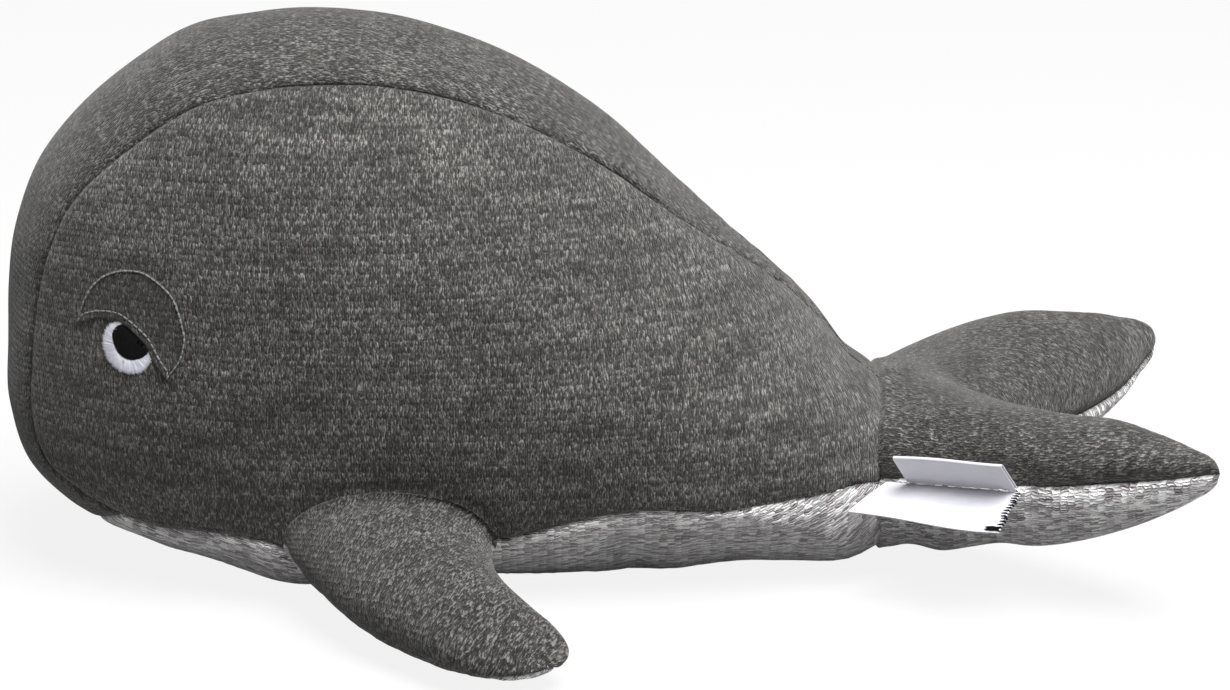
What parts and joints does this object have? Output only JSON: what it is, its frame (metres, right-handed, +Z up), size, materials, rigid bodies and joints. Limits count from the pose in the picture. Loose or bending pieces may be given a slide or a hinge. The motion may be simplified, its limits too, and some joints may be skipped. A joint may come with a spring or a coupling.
{
  "type": "plush whale",
  "caption": "Stuffed whale of knitted jersey lying on its belly, with flippers and a forked tail that lift and spring back, and two sewn-in ribbon labels.",
  "frame": {"origin": "under the middle of the whale, on the surface that it lies on", "axes": "+X from the head to the tail, +Y to the whale's right side, +Z up"},
  "size_m": [0.3395, 0.235, 0.1585],
  "materials": {
    "heather_dark": "matte knitted jersey, charcoal heather",
    "heather_side": "matte knitted jersey, charcoal heather",
    "heather_light": "matte knitted jersey, light grey heather",
    "filling": "loose white fibre filling",
    "eye_white": "white embroidery thread, slight sheen",
    "pupil": "black embroidery thread, slight sheen",
    "eyelid": "matte knitted jersey, dark grey",
    "thread": "grey sewing thread",
    "label": "satin ribbon"
  },
  "bodies": {
    "body": {"side_panel_left": "heather_side", "side_panel_right": "heather_side", "back_gusset": "heather_dark", "belly_panel": "heather_light", "body_filling": "filling", "eye_white_left": "eye_white", "eye_white_right": "eye_white", "pupil_left": "pupil", "pupil_right": "pupil", "eyelid_left": "eyelid", "eyelid_right": "eyelid", "eyelid_thread_left": "thread", "eyelid_thread_right": "thread"},
    "left_flipper": {"flipper_top_left": "heather_dark", "flipper_underside_left": "heather_light", "flipper_filling_left": "filling"},
    "right_flipper": {"flipper_top_right": "heather_dark", "flipper_underside_right": "heather_light", "flipper_filling_right": "filling"},
    "tail": {"tail_top": "heather_dark", "tail_underside": "heather_light", "fluke_filling_left": "filling", "fluke_filling_right": "filling"},
    "lower_label": {"label_lower": "label"},
    "upper_label": {"label_upper": "label"}
  },
  "joints": [
    {"name": "left_flipper_lift", "type": "hinge", "parent": "body", "child": "left_flipper", "pos_m": [-0.0575, -0.06166, 0.0395], "axis": [-1, 0, 0], "range_deg": [0, 45], "stiffness_Nm_per_rad": 0.04},
    {"name": "right_flipper_lift", "type": "hinge", "parent": "body", "child": "right_flipper", "pos_m": [-0.0575, 0.06166, 0.0395], "axis": [1, 0, 0], "range_deg": [0, 45], "stiffness_Nm_per_rad": 0.04},
    {"name": "tail_lift", "type": "hinge", "parent": "body", "child": "tail", "pos_m": [0.0805, 0, 0.046], "axis": [0, -1, 0], "range_deg": [0, 15], "stiffness_Nm_per_rad": 0.6},
    {"name": "lower_label_bend", "type": "hinge", "parent": "tail", "child": "lower_label", "pos_m": [0.08085, -0.03487, 0.03115], "axis": [-0.8305, 0.5433, -0.1232], "range_deg": [-20, 20], "stiffness_Nm_per_rad": 0.0005},
    {"name": "upper_label_bend", "type": "hinge", "parent": "tail", "child": "upper_label", "pos_m": [0.08654, -0.03874, 0.03297], "axis": [-0.8336, 0.5375, -0.1275], "range_deg": [-20, 25], "stiffness_Nm_per_rad": 0.0005}
  ]
}
